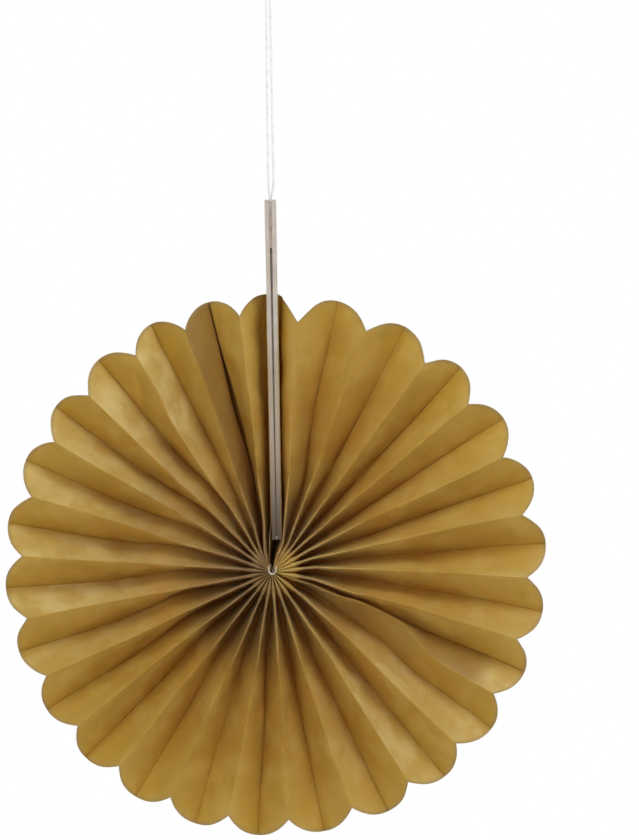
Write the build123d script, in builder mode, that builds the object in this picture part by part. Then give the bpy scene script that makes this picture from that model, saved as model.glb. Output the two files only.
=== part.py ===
from build123d import *
import os
from math import asin, atan, cos, degrees, exp, hypot, pi, radians, sin, sqrt, tan

# Paper fan medallion, in millimetres. The hub is at the origin, +Z runs up the two card strips,
# and the fan's depth lies along Y, with its viewed side towards -Y.

# Folded sheet of tissue paper
fan_diameter = 152.4
scallop_depth = 5.4
panel_width = 12.5
paper_thickness = 0.15
bore_radius = 1.6
bore_slit = 0.2
foot_clearance = 0.2
end_panel_drop = 0.2
section_shares = (0.2, 0.42, 0.71, 1.05)

# The rim's centre seen from the hub
rim_aside = 0.97
rim_up = 1.73

# Ridges at the rim, clockwise from +Z in degrees, which are uneven as in a fan opened by hand
first_ridge = 6.9
ridge_pitches = (
    15.5, 15.0, 13.3, 14.0, 13.7, 14.0, 14.1, 13.3, 14.3, 14.1, 14.5, 14.4, 14.0,
    14.4, 13.9, 13.6, 13.1, 14.3, 14.3, 13.7, 13.6, 12.8, 13.9, 13.0, 12.3,
)

# Swing of the folds on their way from the rim to the hub, in degrees
right_swing = -7.5
right_swing_centre = 98.0
right_swing_spread = 42.0
left_swing = 3.0
left_swing_centre = 298.0
left_swing_spread = 24.0
full_swing_radius = 12.0
strip_reach = 75.0

# Card strips, which stand back to back beside the hub and lean apart towards the top
strip_aside = 1.45
strip_thickness = 1.2
strip_width = panel_width
strip_foot = 9.0
strip_top = 104.6
gap_at_foot = 0.2
gap_at_top = 0.8

# Adhesive tape between the strips, nearly flush with their edges at the upper end
tape_end_inset = 1.0
tape_side_inset = 1.5
tape_flush_inset = 0.3
tape_flush_length = 13.6
tape_slit_width = 2.0
tape_slit_length = 6.0

# Binding thread at the hub
thread_diameter = 0.8
thread_clearance = 0.05

# Hanging string, with both ends between the strips, and its knot
string_diameter = 0.7
string_end_clearance = 0.3
strand_depth = 0.5
strand_exit = 0.8
strand_rise = 3.4
left_strand_aside = 0.42
right_strand_aside = 1.05
strands_apart = 0.96
loop_foot = 175.7
knot_height = 171.4
knot_centre = 1.98
knot_clearance = 0.1
knot_turns = 3
knot_pitch = 0.7
bend_share = 0.45

# Sizes that follow from the ones above
tip_radius = fan_diameter / 2
first_open_radius = strip_foot + foot_clearance
section_radii = [bore_radius, first_open_radius]
section_radii += [share * tip_radius for share in section_shares]
strip_lean = atan((gap_at_top - gap_at_foot) / 2 / (strip_top - strip_foot))
ridges = [first_ridge + sum(ridge_pitches[:place]) for place in range(len(ridge_pitches) + 1)]
last_fold = 2 * len(ridges)
panel_angle = pi / len(ridges)


def inner_face(height):
    """Distance of a strip's inner face from the middle plane."""
    return gap_at_foot / 2 + (height - strip_foot) * tan(strip_lean)


def outer_face(height):
    """Distance of a strip's outer face from the middle plane."""
    return inner_face(height) + strip_thickness / cos(strip_lean)


def end_angle(side, radius):
    """Angle from +Z to the sheet's end fold, up the back edge of the right or left strip."""
    if radius < first_open_radius:
        return degrees(asin(side * bore_slit / 2 / radius))
    return degrees(asin((strip_aside + side * (outer_face(radius) + paper_thickness / 2)) / radius))


def rim_angle(fold):
    """Angle of a fold at the rim: odd folds are ridges, and valleys lie halfway between them."""
    if fold % 2:
        return ridges[fold // 2]
    return (ridges[fold // 2 - 1] + ridges[fold // 2]) / 2


def swing(angle):
    """How far a fold with this rim angle has swung round when it nears the hub."""
    right = right_swing * exp(-(((angle - right_swing_centre) / right_swing_spread) ** 2))
    left = left_swing * exp(-(((angle - left_swing_centre) / left_swing_spread) ** 2))
    return right + left


def fold_angle(fold, radius):
    """Clockwise angle from +Z to a fold, numbered from the right strip round to the left one."""
    right = end_angle(1, radius)
    left = 360 + end_angle(-1, radius)
    if fold == 0:
        return right
    if fold == last_fold:
        return left
    if radius < first_open_radius:
        return right + (left - right) * fold / last_fold
    nearness = 1 / max(radius, full_swing_radius) - 1 / tip_radius
    nearness /= 1 / full_swing_radius - 1 / tip_radius
    angle = rim_angle(fold) + swing(rim_angle(fold)) * nearness
    right_rim = end_angle(1, tip_radius)
    left_rim = 360 + end_angle(-1, tip_radius)
    stop = 360 - strip_reach
    if rim_angle(fold) < strip_reach:
        share = (angle - right_rim) / (strip_reach - right_rim)
        return right + share * (strip_reach - right)
    if rim_angle(fold) > stop:
        share = (left_rim - angle) / (left_rim - stop)
        return left - share * (left - stop)
    return angle


def fold_depth(fold, radius):
    """Place of a fold along Y: odd folds stand towards the viewer, and panels keep their width."""
    if fold in (0, last_fold):
        return strip_width / 2
    depth = sqrt(panel_width**2 - (2 * radius * sin(panel_angle / 2)) ** 2) / 2
    return -depth if fold % 2 else depth


def fold_point(fold, radius):
    angle = radians(fold_angle(fold, radius))
    return Vector(radius * sin(angle), fold_depth(fold, radius), radius * cos(angle))


def fold_mitre(fold, radius):
    """Height of the paper's corner in a valley, from the panels on both of its sides."""
    beside = [neighbour for neighbour in (fold - 1, fold + 1) if 0 <= neighbour <= last_fold]
    valley = fold_point(fold, radius)
    mitres = []
    for neighbour in beside:
        ridge = fold_point(neighbour, radius)
        run, rise = hypot(ridge.X - valley.X, ridge.Z - valley.Z), valley.Y - ridge.Y
        mitres.append(paper_thickness / 2 * hypot(run, rise) / run)
    return sum(mitres) / len(mitres)


def pleat_section(pleat, radius):
    """Plane across one pleat, and the outline of its two panels there, from valley to valley."""
    left, ridge, right = [fold_point(2 * pleat + step, radius) for step in range(3)]
    across = Vector(right.X - left.X, 0, right.Z - left.Z)
    middle = Vector((left.X + right.X) / 2, 0, (left.Z + right.Z) / 2)
    plane = Plane(origin=middle, x_dir=across, z_dir=across.cross(Vector(0, 1, 0)))
    left, ridge, right = [plane.to_local_coords(point) for point in (left, ridge, right)]
    left_run, left_rise = ridge.X - left.X, left.Y - ridge.Y
    right_run, right_rise = right.X - ridge.X, right.Y - ridge.Y
    left_half = paper_thickness / 2 * hypot(left_run, left_rise) / left_rise
    right_half = paper_thickness / 2 * hypot(right_run, right_rise) / right_rise
    left_mitre, right_mitre = [fold_mitre(2 * pleat + step, radius) for step in (0, 2)]
    outline = [
        (left.X, left.Y),
        (left.X, left.Y - left_mitre),
        (ridge.X - left_half, ridge.Y),
        (ridge.X + right_half, ridge.Y),
        (right.X, right.Y - right_mitre),
        (right.X, right.Y),
        (right.X - right_half, right.Y),
        (ridge.X, ridge.Y + (left_mitre + right_mitre) / 2),
        (left.X + left_half, left.Y),
    ]
    return plane, outline


def rim_radius(angle):
    """Distance from the hub to the rim's circle, in the direction of an angle in degrees."""
    along = rim_aside * sin(radians(angle)) + rim_up * cos(radians(angle))
    return along + sqrt(tip_radius**2 - rim_aside**2 - rim_up**2 + along**2)


def rim_point(fold):
    """Tip or cusp of the scalloped edge at a fold, in the plane of the view."""
    angle = fold_angle(fold, tip_radius)
    radius = rim_radius(angle) - (scallop_depth if fold % 2 else 0)
    return radius * sin(radians(angle)), radius * cos(radians(angle))


# End panel: glued flat on a strip's outer face, with half a scallop at its upper end
end_tip = rim_radius(0) - end_panel_drop - strip_foot
end_cusp = end_tip - scallop_depth
right_outer_plane = Plane(
    origin=(strip_aside + outer_face(strip_foot), 0, strip_foot),
    x_dir=(0, 1, 0),
    z_dir=(cos(strip_lean), 0, -sin(strip_lean)),
)
with BuildPart() as end_panel:
    with BuildSketch(right_outer_plane):
        with BuildLine():
            Polyline(
                (-strip_width / 2, end_cusp),
                (-strip_width / 2, 0),
                (strip_width / 2, 0),
                (strip_width / 2, end_tip),
            )
            TangentArc((strip_width / 2, end_tip), (-strip_width / 2, end_cusp), tangent=(-1, 0))
        make_face()
    extrude(amount=paper_thickness)

# Folded sheet: the pleats, cut to scallops, and the two end panels
middle_plane = Plane.YZ.offset(strip_aside)
with BuildPart() as paper_fan:
    for pleat in range(len(ridges)):
        for radius in section_radii:
            section_plane, section_outline = pleat_section(pleat, radius)
            with BuildSketch(section_plane):
                with BuildLine():
                    Polyline(*section_outline, close=True)
                make_face()
        loft(ruled=True)
    with BuildSketch(Plane.XZ):
        with BuildLine():
            TangentArc(rim_point(0), rim_point(1), tangent=(1, 0))
            for tip in range(2, last_fold, 2):
                ThreePointArc(rim_point(tip - 1), rim_point(tip), rim_point(tip + 1))
            TangentArc(rim_point(last_fold), rim_point(last_fold - 1), tangent=(-1, 0))
            Line(rim_point(last_fold), rim_point(0))
        make_face()
    extrude(amount=panel_width, both=True, mode=Mode.INTERSECT)
    add(end_panel.part)
    mirror(end_panel.part, about=middle_plane)
paper_fan.part.label = "paper_fan"

# Card strips: plain, and mirror images of each other
right_strip_plane = Plane(
    origin=(strip_aside + inner_face(strip_foot), 0, strip_foot),
    x_dir=(cos(strip_lean), 0, -sin(strip_lean)),
    z_dir=(sin(strip_lean), 0, cos(strip_lean)),
)
with BuildPart() as right_strip:
    with BuildSketch(right_strip_plane):
        Rectangle(strip_thickness, strip_width, align=(Align.MIN, Align.CENTER))
    extrude(amount=strip_top - strip_foot)
right_strip.part.label = "right_strip"

with BuildPart() as left_strip:
    mirror(right_strip.part, about=middle_plane)
left_strip.part.label = "left_strip"

# Adhesive tape: a wedge between the strips, slit from its upper end for the string
tape_top = strip_top - tape_end_inset
tape_foot = strip_foot + tape_end_inset
flush_foot = strip_top - tape_flush_length
slit_foot = strip_top - tape_slit_length


def tape_wedge(low, high):
    """Outline of the tape between two heights, as wide as the gap between the strips."""
    corners = [(1, low), (1, high), (-1, high), (-1, low)]
    return [(strip_aside + side * inner_face(height), height) for side, height in corners]


with BuildPart() as adhesive_tape:
    for low, inset in ((tape_foot, tape_side_inset), (flush_foot, tape_flush_inset)):
        with BuildSketch(Plane.XZ):
            with BuildLine():
                Polyline(*tape_wedge(low, tape_top), close=True)
            make_face()
        extrude(amount=strip_width / 2 - inset, both=True)
    with BuildSketch(middle_plane):
        with Locations((0, slit_foot)):
            Rectangle(tape_slit_width, tape_slit_length, align=(Align.CENTER, Align.MIN))
    extrude(amount=gap_at_top, both=True, mode=Mode.SUBTRACT)
adhesive_tape.part.label = "adhesive_tape"

# Binding thread: a ring drawn tight in the mouth of the bore
ring_radius = bore_radius - thread_clearance - thread_diameter / 2
with BuildPart() as binding_thread:
    with BuildSketch(Plane.XY):
        with Locations((ring_radius, (thread_diameter - panel_width) / 2)):
            Circle(thread_diameter / 2)
    revolve(axis=Axis.Y)
binding_thread.part.label = "binding_thread"

# Hanging string: up from the gap, round the hanging loop, and down into the gap again
string_route = [
    (strip_aside, -strand_depth, slit_foot + string_end_clearance),
    (strip_aside, -strand_depth, strip_top + strand_exit),
    (strip_aside - left_strand_aside, -strand_depth, strip_top + strand_rise),
    (knot_centre - strands_apart / 2, 0.0, loop_foot),
    (knot_centre - 3.73, 0.0, loop_foot + 5.2),
    (knot_centre - 2.83, 0.0, loop_foot + 11.2),
    (knot_centre + 2.97, 0.0, loop_foot + 11.8),
    (knot_centre + 3.77, 0.0, loop_foot + 5.6),
    (knot_centre + strands_apart / 2, 0.0, loop_foot),
    (strip_aside + right_strand_aside, strand_depth, strip_top + strand_rise),
    (strip_aside, strand_depth, strip_top + strand_exit),
    (strip_aside, strand_depth, slit_foot + string_end_clearance),
]


def bend_radii(points):
    """As large an arc at each corner as its two runs allow."""
    vectors = [Vector(*point) for point in points]
    runs = [end - start for start, end in zip(vectors, vectors[1:])]
    return [
        bend_share * min(a.length, b.length) / tan(radians(a.get_angle(b)) / 2)
        for a, b in zip(runs, runs[1:])
    ]


string_radii = bend_radii(string_route)
with BuildPart() as hanging_string:
    with BuildLine() as string_path:
        FilletPolyline(*string_route, radius=string_radii)
    with BuildSketch(Plane(origin=string_path.line @ 0, z_dir=string_path.line % 0)):
        Circle(string_diameter / 2)
    sweep()
hanging_string.part.label = "hanging_string"

# String knot: turns of the string wound round its two strands
turn_radius = strands_apart / 2 + string_diameter + knot_clearance
with BuildPart() as string_knot:
    with BuildSketch(Plane.XZ):
        for turn in range(knot_turns):
            turn_height = knot_height + (turn - (knot_turns - 1) / 2) * knot_pitch
            with Locations((knot_centre + turn_radius, turn_height)):
                Circle(string_diameter / 2)
    revolve(axis=Axis((knot_centre, 0, 0), (0, 0, 1)))
string_knot.part.label = "string_knot"

os.makedirs("parts", exist_ok=True)
export_step(paper_fan.part, "parts/paper_fan.step")
export_step(left_strip.part, "parts/left_strip.step")
export_step(right_strip.part, "parts/right_strip.step")
export_step(adhesive_tape.part, "parts/adhesive_tape.step")
export_step(binding_thread.part, "parts/binding_thread.step")
export_step(hanging_string.part, "parts/hanging_string.step")
export_step(string_knot.part, "parts/string_knot.step")

print("string bend radii", [round(radius, 2) for radius in string_radii])
print("string length", round(sum(edge.length for edge in string_path.edges()), 1))
print("mean panel opening", round(degrees(panel_angle), 2))
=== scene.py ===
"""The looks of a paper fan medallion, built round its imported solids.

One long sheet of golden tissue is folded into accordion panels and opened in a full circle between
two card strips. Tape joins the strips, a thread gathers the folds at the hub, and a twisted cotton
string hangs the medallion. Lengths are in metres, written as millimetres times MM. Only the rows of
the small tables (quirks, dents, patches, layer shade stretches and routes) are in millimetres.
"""

import logging
import math
from dataclasses import dataclass
from enum import Enum

import bpy
import numpy as np
from mathutils import Matrix, Vector


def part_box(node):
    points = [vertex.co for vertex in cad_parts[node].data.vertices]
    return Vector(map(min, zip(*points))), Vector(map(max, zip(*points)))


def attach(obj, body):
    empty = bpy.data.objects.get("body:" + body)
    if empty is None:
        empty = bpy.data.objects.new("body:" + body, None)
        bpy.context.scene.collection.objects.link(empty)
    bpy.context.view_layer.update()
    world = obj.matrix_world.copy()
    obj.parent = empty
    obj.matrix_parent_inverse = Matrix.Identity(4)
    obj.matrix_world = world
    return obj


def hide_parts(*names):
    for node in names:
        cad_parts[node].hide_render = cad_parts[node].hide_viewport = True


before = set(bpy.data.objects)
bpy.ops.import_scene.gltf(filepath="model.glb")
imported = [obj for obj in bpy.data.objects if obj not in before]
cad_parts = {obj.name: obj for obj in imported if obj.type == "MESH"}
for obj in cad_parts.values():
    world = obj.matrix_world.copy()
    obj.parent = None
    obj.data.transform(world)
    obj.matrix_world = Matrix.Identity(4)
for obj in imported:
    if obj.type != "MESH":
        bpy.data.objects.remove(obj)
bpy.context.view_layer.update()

MM = 0.001
ROOT_BODY = "root"
FULL_TURN = 360.0
log = logging.getLogger("medallion")


@dataclass(frozen=True)
class Span:
    """A stretch between two values, over which something sets in or dies away."""

    low: float
    high: float

    def rise(self, value: np.ndarray) -> np.ndarray:
        """Rise from 0 at the low end to 1 at the high end, level at both."""
        share = np.clip((np.asarray(value, float) - self.low) / (self.high - self.low), 0.0, 1.0)
        return share * share * (3.0 - 2.0 * share)

    def fall(self, value: np.ndarray) -> np.ndarray:
        """Fall from 1 at the low end to 0 at the high end, level at both."""
        return 1.0 - self.rise(value)


def mm_span(low: float, high: float) -> Span:
    """Make a span between two lengths in millimetres."""
    return Span(low * MM, high * MM)


@dataclass(frozen=True)
class Swell:
    """A soft rise about a middle, which fades to both sides; a higher power makes it squarer."""

    middle: float
    spread: float
    height: float = 1.0
    power: int = 2

    def at(self, place: np.ndarray) -> np.ndarray:
        """Height of the rise at each place."""
        return self.height * np.exp(-(((place - self.middle) / self.spread) ** self.power))


@dataclass(frozen=True)
class Plateau:
    """A rise, a level stretch and a fall, by the places where the rise and the fall start and end."""

    start: float
    top: float
    brink: float
    end: float
    height: float = 1.0

    def at(self, place: np.ndarray) -> np.ndarray:
        """Height of the plateau at each place."""
        risen = Span(self.start, self.top).rise(place)
        return self.height * risen * Span(self.brink, self.end).fall(place)


@dataclass(frozen=True)
class Ripples:
    """Seeded unevenness over a flat sheet: a sum of plane waves of about one wavelength."""

    seed: int
    wavelength: float
    waves: int = 22
    stretch: tuple[float, float] = (0.7, 1.7)
    evenness: float = 1.4

    def at(self, across: np.ndarray, along: np.ndarray) -> np.ndarray:
        """Height of the ripples, mostly between -1 and 1.

        Args:
            across: places along the sheet's length.
            along: places across the sheet's width, from the hub to the rim.

        Returns:
            One height for each place.
        """
        random = np.random.default_rng(self.seed)
        height = np.zeros(np.broadcast(across, along).shape)
        for _ in range(self.waves):
            angle = random.uniform(0.0, math.pi)
            length = self.wavelength * random.uniform(*self.stretch)
            phase = random.uniform(0.0, 2.0 * math.pi)
            run = across * math.cos(angle) + along * math.sin(angle)
            height = height + np.sin(2.0 * math.pi * run / length + phase)
        return height / math.sqrt(self.waves / 2.0) / self.evenness


class Ground:
    """The nodes of one material or node group, with short calls to add and join them."""

    def __init__(self, tree: bpy.types.NodeTree) -> None:
        """Keep the tree that nodes are added to."""
        self.tree = tree

    def add(self, kind: str, **settings: object) -> bpy.types.Node:
        """Add a node.

        Args:
            kind: the node's Blender type.
            settings: attributes of the node, by name.

        Returns:
            The new node.
        """
        node = self.tree.nodes.new(kind)
        for name, value in settings.items():
            setattr(node, name, value)
        return node

    def join(self, start: bpy.types.NodeSocket, end: bpy.types.NodeSocket) -> None:
        """Link an output to an input."""
        self.tree.links.new(start, end)

    def combine(self, operation: str, *values: object) -> bpy.types.NodeSocket:
        """Work out one number from others.

        Args:
            operation: the Math node's operation.
            values: outputs of other nodes, or plain numbers, in the operation's order.

        Returns:
            The result.
        """
        node = self.add("ShaderNodeMath", operation=operation)
        for socket, value in zip(node.inputs, values):
            if isinstance(value, bpy.types.NodeSocket):
                self.join(value, socket)
            else:
                socket.default_value = value
        return node.outputs[0]

    def noise(
        self, place: bpy.types.NodeSocket, scale: float, detail: float = 2.0
    ) -> bpy.types.NodeSocket:
        """Add a noise texture.

        Args:
            place: the texture coordinates.
            scale: waves in a metre.
            detail: octaves of finer noise.

        Returns:
            The noise's Fac output.
        """
        node = self.add("ShaderNodeTexNoise")
        node.inputs["Scale"].default_value = scale
        node.inputs["Detail"].default_value = detail
        self.join(place, node.inputs["Vector"])
        return node.outputs["Fac"]

    def ramp(self, value: bpy.types.NodeSocket, stops: tuple) -> bpy.types.NodeSocket:
        """Add a colour ramp.

        Args:
            value: what drives the ramp.
            stops: pairs of a position and a linear colour.

        Returns:
            The ramp's Color output.
        """
        node = self.add("ShaderNodeValToRGB")
        elements = node.color_ramp.elements
        while len(elements) < len(stops):
            elements.new(0.5)
        for element, (position, colour) in zip(elements, stops):
            element.position = position
            element.color = (*colour, 1.0)
        self.join(value, node.inputs["Fac"])
        return node.outputs["Color"]

    def span(
        self, value: bpy.types.NodeSocket, low: float, high: float, start: float = 0.0
    ) -> bpy.types.NodeSocket:
        """Map a value evenly onto a new span.

        Args:
            value: what is mapped.
            low: the result at the start.
            high: the result where the value is 1.
            start: the value that gives the low result.

        Returns:
            The result.
        """
        node = self.add("ShaderNodeMapRange")
        node.inputs["From Min"].default_value = start
        node.inputs["To Min"].default_value = low
        node.inputs["To Max"].default_value = high
        self.join(value, node.inputs["Value"])
        return node.outputs["Result"]

    def contrast(self, value: bpy.types.NodeSocket, low: float, high: float) -> bpy.types.NodeSocket:
        """Rise smoothly from 0 where the value is low to 1 where it is high.

        Args:
            value: what is mapped.
            low: the value that gives 0.
            high: the value that gives 1, less than the other one for a fall.

        Returns:
            The result.
        """
        node = self.add("ShaderNodeMapRange", interpolation_type="SMOOTHSTEP")
        node.inputs["From Min"].default_value = low
        node.inputs["From Max"].default_value = high
        self.join(value, node.inputs["Value"])
        return node.outputs["Result"]

    def tint(
        self, base: bpy.types.NodeSocket, colour: tuple, share: bpy.types.NodeSocket
    ) -> bpy.types.NodeSocket:
        """Mix a plain colour over a changing one.

        Args:
            base: the colour below.
            colour: the linear colour on top.
            share: how much of the top colour shows.

        Returns:
            The mixed colour.
        """
        node = self.add("ShaderNodeMix", data_type="RGBA")
        node.inputs["B"].default_value = (*colour, 1.0)
        self.join(base, node.inputs["A"])
        self.join(share, node.inputs["Factor"])
        return node.outputs["Result"]

    def attribute(self, name: str) -> bpy.types.NodeSocket:
        """Read a number stored on the mesh's points."""
        return self.add("ShaderNodeAttribute", attribute_name=name).outputs["Fac"]


def fibre_group() -> bpy.types.NodeTree:
    """Make the node group for paper fibre, which the tissue, card and tape share.

    Returns:
        A group with inputs Vector, Mottle Scale and Fibre Scale, and outputs Mottle and Height.
    """
    noises = (
        ("Mottle Scale", "Mottle", {"Detail": 4.0, "Distortion": 0.6}),
        ("Fibre Scale", "Height", {"Detail": 6.0, "Roughness": 0.7, "Distortion": 1.8}),
    )
    group = bpy.data.node_groups.new("paper_fibre", "ShaderNodeTree")
    group.interface.new_socket("Vector", in_out="INPUT", socket_type="NodeSocketVector")
    for scale, result, _ in noises:
        group.interface.new_socket(scale, in_out="INPUT", socket_type="NodeSocketFloat")
        group.interface.new_socket(result, in_out="OUTPUT", socket_type="NodeSocketFloat")
    ground = Ground(group)
    start = ground.add("NodeGroupInput")
    end = ground.add("NodeGroupOutput")
    for scale, result, settings in noises:
        noise = ground.add("ShaderNodeTexNoise")
        for name, value in settings.items():
            noise.inputs[name].default_value = value
        ground.join(start.outputs["Vector"], noise.inputs["Vector"])
        ground.join(start.outputs[scale], noise.inputs["Scale"])
        ground.join(noise.outputs["Fac"], end.inputs[result])
    return group


@dataclass(frozen=True)
class Finish:
    """What every finish has: a name, a gloss, a bump of some depth, and the scales of its fibre."""

    name: str
    roughness: tuple[float, float]
    sheen: float
    bump: float
    depth: float
    fibres: tuple[float, float]

    def start(self) -> tuple[Ground, bpy.types.Material, bpy.types.Node, bpy.types.NodeSocket]:
        """Make an empty material.

        Returns:
            Its ground, the material, its Principled node and its object coordinates.
        """
        material = bpy.data.materials.new(self.name)
        material.use_nodes = True
        ground = Ground(material.node_tree)
        shader = material.node_tree.nodes["Principled BSDF"]
        shader.inputs["Sheen Weight"].default_value = self.sheen
        place = ground.add("ShaderNodeTexCoord").outputs["Object"]
        return ground, material, shader, place

    def fibre(self, ground: Ground, place: bpy.types.NodeSocket) -> bpy.types.Node:
        """Place the paper fibre group.

        Args:
            ground: the material's ground.
            place: the texture coordinates.

        Returns:
            The group's node.
        """
        node = ground.add("ShaderNodeGroup", node_tree=bpy.data.node_groups["paper_fibre"])
        node.inputs["Mottle Scale"].default_value, node.inputs["Fibre Scale"].default_value = self.fibres
        ground.join(place, node.inputs["Vector"])
        return node

    def relief(self, ground: Ground, height: bpy.types.NodeSocket, shader: bpy.types.Node) -> None:
        """Give the shader a bump from a height.

        Args:
            ground: the material's ground.
            height: what the bump follows.
            shader: the node that takes it.
        """
        node = ground.add("ShaderNodeBump")
        node.inputs["Strength"].default_value = self.bump
        node.inputs["Distance"].default_value = self.depth
        ground.join(height, node.inputs["Height"])
        ground.join(node.outputs["Normal"], shader.inputs["Normal"])


@dataclass(frozen=True)
class TissueFinish(Finish):
    """Thin golden tissue with a satin sheen, with painted shade in its folds, about its hub and where a
    second layer lies behind, and painted sheen in patches on panels that face up.
    """

    name: str = "golden_tissue"
    roughness: tuple[float, float] = (0.42, 0.55)
    sheen: float = 0.0
    bump: float = 0.55
    depth: float = 0.25 * MM
    fibres: tuple[float, float] = (95.0, 1500.0)
    # Base colour by distance from the hub: the darker, browner stops near the hub are painted shade of
    # the deep pleats there.
    tones: tuple = (
        (0.07, (0.19, 0.100, 0.034)),
        (0.14, (0.24, 0.145, 0.056)),
        (0.28, (0.31, 0.170, 0.038)),
        (0.45, (0.37, 0.204, 0.033)),
        (0.72, (0.37, 0.226, 0.034)),
        (1.00, (0.39, 0.266, 0.042)),
    )
    # Painted light: a lighter gold on the lit side of the packed folds at the hub.
    painted_hub_light: tuple = (0.40, 0.235, 0.050)
    pale: tuple = (0.52, 0.40, 0.12)
    cloud_span: tuple[float, float] = (0.40, 0.66)
    cloud_share: float = 0.26
    # Painted sheen: a paler tone, in noisy patches, on panels that face up towards the key lamp.
    painted_sheen: tuple = (0.60, 0.52, 0.26)
    patch_scale: float = 150.0
    patch_span: tuple[float, float] = (0.38, 0.68)
    patch_shares: tuple[float, float] = (0.35, 1.0)
    painted_sheen_share: float = 0.5
    marks: tuple = (
        # Painted shade where a second layer of tissue lies behind and lets less light through.
        ("painted_layer_shade", (0.175, 0.090, 0.028), 0.6),
        # Painted shade in the pockets near the hub and in the tuck's slit.
        ("painted_shade", (0.085, 0.042, 0.018), 1.0),
        # Painted shade along the valley creases.
        ("valley", (0.20, 0.10, 0.014), 0.5),
        ("cut", (0.27, 0.22, 0.10), 0.8),
    )
    shine: float = 0.3
    glow: float = 1.0
    glow_depth: float = 0.5 * MM
    glow_radius: tuple = (0.85, 0.6, 0.35)
    crumple_scale: float = 420.0
    fibre_height: float = 0.12

    def make(self) -> bpy.types.Material:
        """Build the material.

        Returns:
            The material.
        """
        ground, material, shader, place = self.start()
        fibre = self.fibre(ground, place)
        # Base colour by distance from the hub, with painted shade towards the hub.
        colour = ground.ramp(ground.attribute("reach"), self.tones)
        clouds = ground.contrast(fibre.outputs["Mottle"], *self.cloud_span)
        # Painted light on the lit side of the packed folds at the hub.
        colour = ground.tint(colour, self.painted_hub_light, ground.attribute("painted_hub_light"))
        colour = ground.tint(colour, self.pale, ground.combine("MULTIPLY", clouds, self.cloud_share))
        # Painted sheen on the upward-facing panels, broken into patches.
        patchy = ground.contrast(ground.noise(place, self.patch_scale, detail=3.0), *self.patch_span)
        patchy = ground.span(patchy, *self.patch_shares)
        patches = ground.combine("MULTIPLY", patchy, ground.attribute("painted_sheen"))
        colour = ground.tint(colour, self.painted_sheen, ground.combine("MULTIPLY", patches, self.painted_sheen_share))
        for mark, tone, strength in self.marks:
            share = ground.combine("MULTIPLY", ground.attribute(mark), strength)
            colour = ground.tint(colour, tone, share)
        ground.join(colour, shader.inputs["Base Color"])
        gloss = ground.span(fibre.outputs["Mottle"], *reversed(self.roughness))
        ground.join(gloss, shader.inputs["Roughness"])
        shader.inputs["Specular IOR Level"].default_value = self.shine
        shader.inputs["Subsurface Weight"].default_value = self.glow
        shader.inputs["Subsurface Scale"].default_value = self.glow_depth
        shader.inputs["Subsurface Radius"].default_value = self.glow_radius
        crumple = ground.noise(place, self.crumple_scale, detail=3.0)
        height = ground.combine("MULTIPLY_ADD", fibre.outputs["Height"], self.fibre_height, crumple)
        self.relief(ground, height, shader)
        return material


@dataclass(frozen=True)
class CardFinish(Finish):
    """Plain greige card, with its plies showing at the cut edges, and painted shade darkening it towards
    the hub.
    """

    name: str = "greige_card"
    roughness: tuple[float, float] = (0.72, 0.9)
    sheen: float = 0.08
    bump: float = 0.4
    depth: float = 0.12 * MM
    fibres: tuple[float, float] = (160.0, 2200.0)
    plies: tuple = ((0.3, (0.36, 0.30, 0.25)), (0.5, (0.46, 0.40, 0.345)), (0.72, (0.56, 0.50, 0.44)))
    ply_scale: float = 2600.0
    ply_stretch: tuple = (1.0, 0.3, 0.05)
    ply_share: float = 0.5
    # Painted shade: the card grows darker towards the hub, where the folds around it shade it.
    painted_shade: tuple = (0.30, 0.225, 0.15)
    painted_shade_span: tuple[float, float] = (76.0 * MM, 52.0 * MM)
    painted_shade_share: float = 0.75
    # Painted shade, deeper still near the strips' feet by the hub.
    painted_foot_shade: tuple = (0.06, 0.036, 0.017)
    painted_foot_shade_span: tuple[float, float] = (44.0 * MM, 6.0 * MM)

    def make(self) -> bpy.types.Material:
        """Build the material.

        Returns:
            The material.
        """
        ground, material, shader, place = self.start()
        stretch = ground.add("ShaderNodeMapping")
        stretch.inputs["Scale"].default_value = self.ply_stretch
        ground.join(place, stretch.inputs["Vector"])
        plies = ground.noise(stretch.outputs["Vector"], self.ply_scale)
        fibre = self.fibre(ground, place)
        mottle = ground.combine("MULTIPLY", fibre.outputs["Mottle"], 1.0 - self.ply_share)
        colour = ground.ramp(ground.combine("MULTIPLY_ADD", plies, self.ply_share, mottle), self.plies)
        height = ground.add("ShaderNodeSeparateXYZ")
        ground.join(place, height.inputs[0])
        # Painted shade towards the hub, by height.
        shaded = ground.contrast(height.outputs["Z"], *self.painted_shade_span)
        colour = ground.tint(colour, self.painted_shade, ground.combine("MULTIPLY", shaded, self.painted_shade_share))
        # Painted shade, deepest at the strips' feet.
        colour = ground.tint(colour, self.painted_foot_shade, ground.contrast(height.outputs["Z"], *self.painted_foot_shade_span))
        ground.join(colour, shader.inputs["Base Color"])
        ground.join(ground.span(plies, *self.roughness), shader.inputs["Roughness"])
        self.relief(ground, fibre.outputs["Height"], shader)
        return material


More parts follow.
